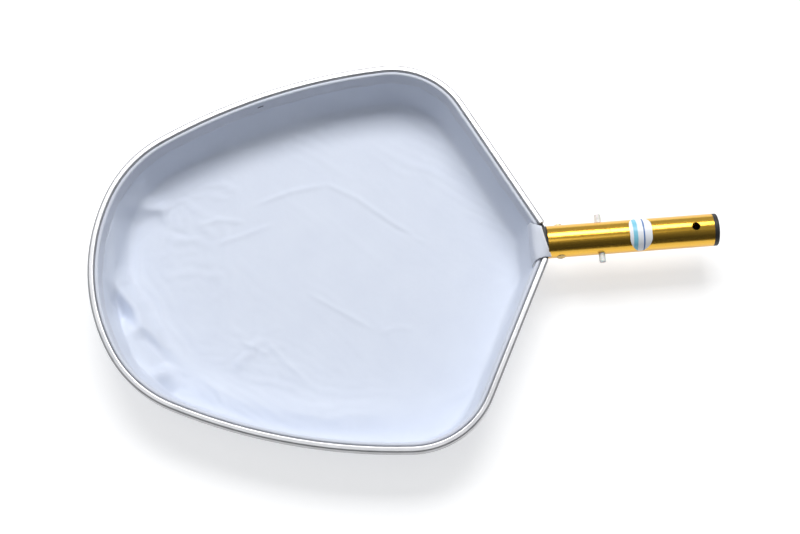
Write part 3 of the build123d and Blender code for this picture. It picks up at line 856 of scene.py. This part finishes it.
@dataclass
class Gusset:
    """The hem's folded ends over the yoke: a sheet that rises from the bag's front and ends at the tube."""

    rim: RimLine
    cloth: Cloth
    piping: Cloth
    thickness: float = 0.0006
    piping_radius: float = 0.0009
    rows: list[list[tuple[float, float, float]]] = field(default_factory=lambda: [
        [(-15.4, 21.5, -11.0), (-15.4, 11.0, -11.5), (-15.4, 0.0, -12.0),
         (-15.4, -11.0, -11.5), (-15.4, -21.5, -11.0)],
        [(-14.9, 20.5, -4.0), (-15.0, 10.5, -4.0), (-15.0, 0.0, -4.5),
         (-15.0, -10.5, -4.0), (-14.9, -20.8, -4.0)],
        [(-14.0, 19.0, 4.0), (-14.2, 10.0, 4.6), (-14.2, 0.0, 4.0), (-14.0, -10.5, 4.6), (-13.6, -20.0, 4.0)],
        [(-12.0, 16.8, 7.4), (-11.2, 9.6, 8.0), (-10.8, 0.0, 7.4), (-9.6, -10.5, 8.0), (-9.4, -18.6, 7.4)],
        [(-9.0, 15.4, 8.0), (-7.2, 8.8, 8.8), (-5.6, -0.6, 8.6), (-4.2, -10.2, 8.6), (-3.4, -17.4, 7.2)],
        [(-5.2, 14.2, 7.4), (-4.4, 7.6, 8.6), (-2.7, -1.2, 8.4), (-0.7, -9.4, 7.8), (1.8, -17.2, 4.2)],
    ])
    steps: int = 6

    @staticmethod
    def curve(before: Vector, start: Vector, end: Vector, after: Vector, t: float) -> Vector:
        """A smooth curve's point between start and end that also heads for its neighbours."""
        return 0.5 * (2 * start + (end - before) * t + (2 * before - 5 * start + 4 * end - after) * t * t
                      + (3 * start - before - 3 * end + after) * t**3)

    def finer(self, line: list[Vector]) -> list[Vector]:
        """Put smooth points between the points of a line."""
        ends = [line[0] * 2 - line[1], *line, line[-1] * 2 - line[-2]]
        made = []
        for k in range(1, len(ends) - 2):
            made += [self.curve(ends[k - 1], ends[k], ends[k + 1], ends[k + 2], s / self.steps)
                     for s in range(self.steps)]
        return [*made, line[-1].copy()]

    def build(self) -> None:
        """Make the gusset and its piped edge."""
        base = Vector((self.rim.mouth_x, 0.0, self.rim.height))
        rows = [self.finer([base + Vector(p) * MM for p in row]) for row in self.rows]
        columns = [self.finer([row[c] for row in rows]) for c in range(len(rows[0]))]
        count = len(columns[0])
        points = [p for column in columns for p in column]
        laid = [((p - base).y, r * 0.0011) for column in columns for r, p in enumerate(column)]
        piece = make_mesh("mouth_gusset_cloth", points, grid_faces(len(columns), count), laid)
        shell = piece.modifiers.new("cloth", "SOLIDIFY")
        shell.thickness, shell.offset = self.thickness, 0.0
        dress(piece, self.cloth.material())
        fit_to_head(piece, "hem", "mouth_gusset")
        edge = [column[-1] for column in columns]
        around = 8
        tube, reach = [], []
        run = 0.0
        for k, spot in enumerate(edge):
            ahead = (edge[min(k + 1, len(edge) - 1)] - edge[max(k - 1, 0)]).normalized()
            up = Vector((0, 0, 1))
            beside = ahead.cross(up).normalized()
            up = beside.cross(ahead)
            size = self.piping_radius * (0.35 if k in (0, len(edge) - 1) else 1.0)
            run += (spot - edge[k - 1]).length if k else 0.0
            for j in range(around):
                spin = 2 * math.pi * j / around
                tube.append(spot + beside * (size * math.cos(spin)) + up * (size * math.sin(spin)))
                reach.append((run, spin * size))
        faces = grid_faces(len(edge), around, closed=True)
        faces += [tuple(reversed(range(around))), tuple((len(edge) - 1) * around + j for j in range(around))]
        pipe = make_mesh("mouth_piping", tube, faces, reach)
        dress(pipe, self.piping.material())
        fit_to_head(pipe, "hem")


# ---------------------------------------------------------------- hardware


@dataclass
class Hardware:
    """The rail, yoke, tube and their small parts, which keep their CAD shapes and get their finishes."""

    frame: dict

    def paint(self, finish: object, *nodes: str) -> None:
        """Give CAD nodes one finish.

        Args:
            finish: any finish with a material method.
            nodes: names of the CAD nodes.
        """
        material = finish.material()
        for name in nodes:
            dress(self.frame["nodes"][name], material)
            LOG.info("%s: %s", name, material.name)

    def build(self) -> None:
        """Finish every CAD node that stays."""
        label_low, label_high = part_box("tube_label")
        self.paint(SatinRail(), "frame_rail")
        self.paint(Moulding("bead_cord", (0.62, 0.63, 0.66), 0.5), "hem_bead")
        self.paint(PlainMetal("staple_wire", (0.30, 0.31, 0.34), 0.3), "hem_staple")
        self.paint(Moulding("black_nylon", (0.012, 0.012, 0.013), 0.42), "yoke")
        self.paint(PlainMetal("zinc_plate", (0.60, 0.61, 0.62), 0.34),
                   "prong_screw_left", "prong_screw_right")
        self.paint(GoldTube(), "handle_tube")
        self.paint(PlainMetal("rivet_aluminium", (0.66, 0.47, 0.20), 0.3), "rivet_left", "rivet_right")
        self.paint(PlainMetal("mandrel_steel", (0.36, 0.36, 0.38), 0.4),
                   "rivet_mandrel_left", "rivet_mandrel_right")
        self.paint(PlainMetal("spring_strip", (0.55, 0.56, 0.58), 0.26, (0.1, 3, 3)), "clip_spring")
        self.paint(Moulding("natural_nylon", (0.66, 0.67, 0.66), 0.34, 0.25), "button_left", "button_right")
        self.paint(Moulding("black_cap", (0.012, 0.012, 0.014), 0.5), "end_cap")
        self.paint(PrintedFilm(centre_x=(label_low.x + label_high.x) / 2), "tube_label")


# ---------------------------------------------------------------- studio


@dataclass
class Studio:
    """A pale floor, soft light from the net's right side and overhead, and the camera."""

    camera_spot: tuple[float, float, float] = (-0.0414, -0.4299, 1.3834)
    camera_turn: tuple[float, float, float] = (17.397, -0.094, -4.587)
    lens: float = 65.27
    floor_colour: Colour = (0.62, 0.62, 0.62)
    floor_glow: float = 0.55
    sky_colour: tuple[float, float, float, float] = (0.90, 0.94, 1.0, 1.0)
    sky_from: float = -0.8
    sky_to: float = 0.6
    sky_left: float = 0.07
    sky_right: float = 0.50

    def soft_light(self, name: str, spot: Sequence[float], size: tuple[float, float], power: float,
                   colour: Colour = (1.0, 1.0, 1.0)) -> None:
        """Add a soft box that faces the net.

        Args:
            name: the light's name.
            spot: where it stands.
            size: its width and height.
            power: its power in watts.
            colour: its colour.
        """
        lamp = bpy.data.lights.new(name, "AREA")
        lamp.shape, lamp.size, lamp.size_y = "RECTANGLE", *size
        lamp.energy, lamp.color = power, colour
        stand = bpy.data.objects.new(name, lamp)
        stand.location = spot
        stand.rotation_euler = (Vector((0.0, 0.0, 0.03)) - Vector(spot)).to_track_quat("-Z", "Y").to_euler()
        bpy.context.scene.collection.objects.link(stand)

    def build_sky(self) -> None:
        """Shade the sky evenly from its left side, which is dim, to its bright right side."""
        world = bpy.data.worlds.new("studio")
        world.use_nodes = True
        tree = world.node_tree
        sky = tree.nodes["Background"]
        sky.inputs["Color"].default_value = self.sky_colour
        toward = tree.nodes.new("ShaderNodeTexCoord")
        parts = tree.nodes.new("ShaderNodeSeparateXYZ")
        slope = tree.nodes.new("ShaderNodeMapRange")
        slope.inputs["From Min"].default_value = self.sky_from
        slope.inputs["From Max"].default_value = self.sky_to
        slope.inputs["To Min"].default_value = self.sky_left
        slope.inputs["To Max"].default_value = self.sky_right
        tree.links.new(toward.outputs["Generated"], parts.inputs[0])
        tree.links.new(parts.outputs["Y"], slope.inputs["Value"])
        tree.links.new(slope.outputs["Result"], sky.inputs["Strength"])
        bpy.context.scene.world = world

    def build(self) -> None:
        """Set up the floor, the sky, the lights and the camera."""
        bpy.ops.mesh.primitive_plane_add(size=8.0, location=(0, 0, -0.0002))
        floor = bpy.context.object
        floor.name = "studio_floor"
        shade = Shade("pale_floor", self.floor_colour, 0.9)
        shade.tint(shade.noise(3.0, 2.0), self.floor_colour, tuple(c * 1.01 for c in self.floor_colour))
        shade.constant(Specular_IOR_Level=0.1, Emission_Strength=self.floor_glow)
        shade.shader.inputs["Emission Color"].default_value = (1.0, 1.0, 1.0, 1.0)
        dress(floor, shade.material)
        self.build_sky()
        self.soft_light("key_box", (0.05, 0.95, 1.55), (1.3, 0.7), 26.5)
        self.soft_light("top_fill", (-0.2, -0.2, 2.4), (1.6, 1.2), 6.0)
        lens = bpy.data.cameras.new("camera")
        lens.lens, lens.sensor_width, lens.sensor_fit = self.lens, 36.0, "HORIZONTAL"
        lens.clip_start, lens.clip_end = 0.05, 20.0
        eye = bpy.data.objects.new("camera", lens)
        eye.location = self.camera_spot
        eye.rotation_euler = Euler([math.radians(a) for a in self.camera_turn], "XYZ")
        bpy.context.scene.collection.objects.link(eye)
        bpy.context.scene.camera = eye
        bpy.context.scene.view_settings.view_transform = "Standard"
        bpy.context.scene.view_settings.look = "None"


def main() -> None:
    """Build the whole net around its frame."""
    logging.basicConfig(level=logging.INFO, format="%(name)s %(message)s")
    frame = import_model()
    rail_low, rail_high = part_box("frame_rail")
    rim = RimLine(mouth_x=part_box("handle_tube")[0].x, height=(rail_low.z + rail_high.z) / 2)
    Studio().build()
    hem_cloth = Cloth("hem_tape_cloth", (0.66, 0.69, 0.77), (0.62, 0.65, 0.73), Weave.TAPE)
    thread = Cloth("hem_thread", (0.74, 0.76, 0.82), (0.68, 0.70, 0.77), Weave.TAPE, 0.1)
    piping = Cloth("piping_cloth", (0.82, 0.83, 0.86), (0.76, 0.77, 0.82), Weave.TAPE, 0.15)
    mesh_cloth = Cloth("silt_mesh", (0.70, 0.745, 0.84), (0.67, 0.715, 0.815), Weave.SILT_MESH)
    Hardware(frame).build()
    Hem(rim, hem_cloth, thread).build()
    Bag(rim, mesh_cloth).build()
    Gusset(rim, hem_cloth, piping).build()


if __name__ == "__main__":
    main()
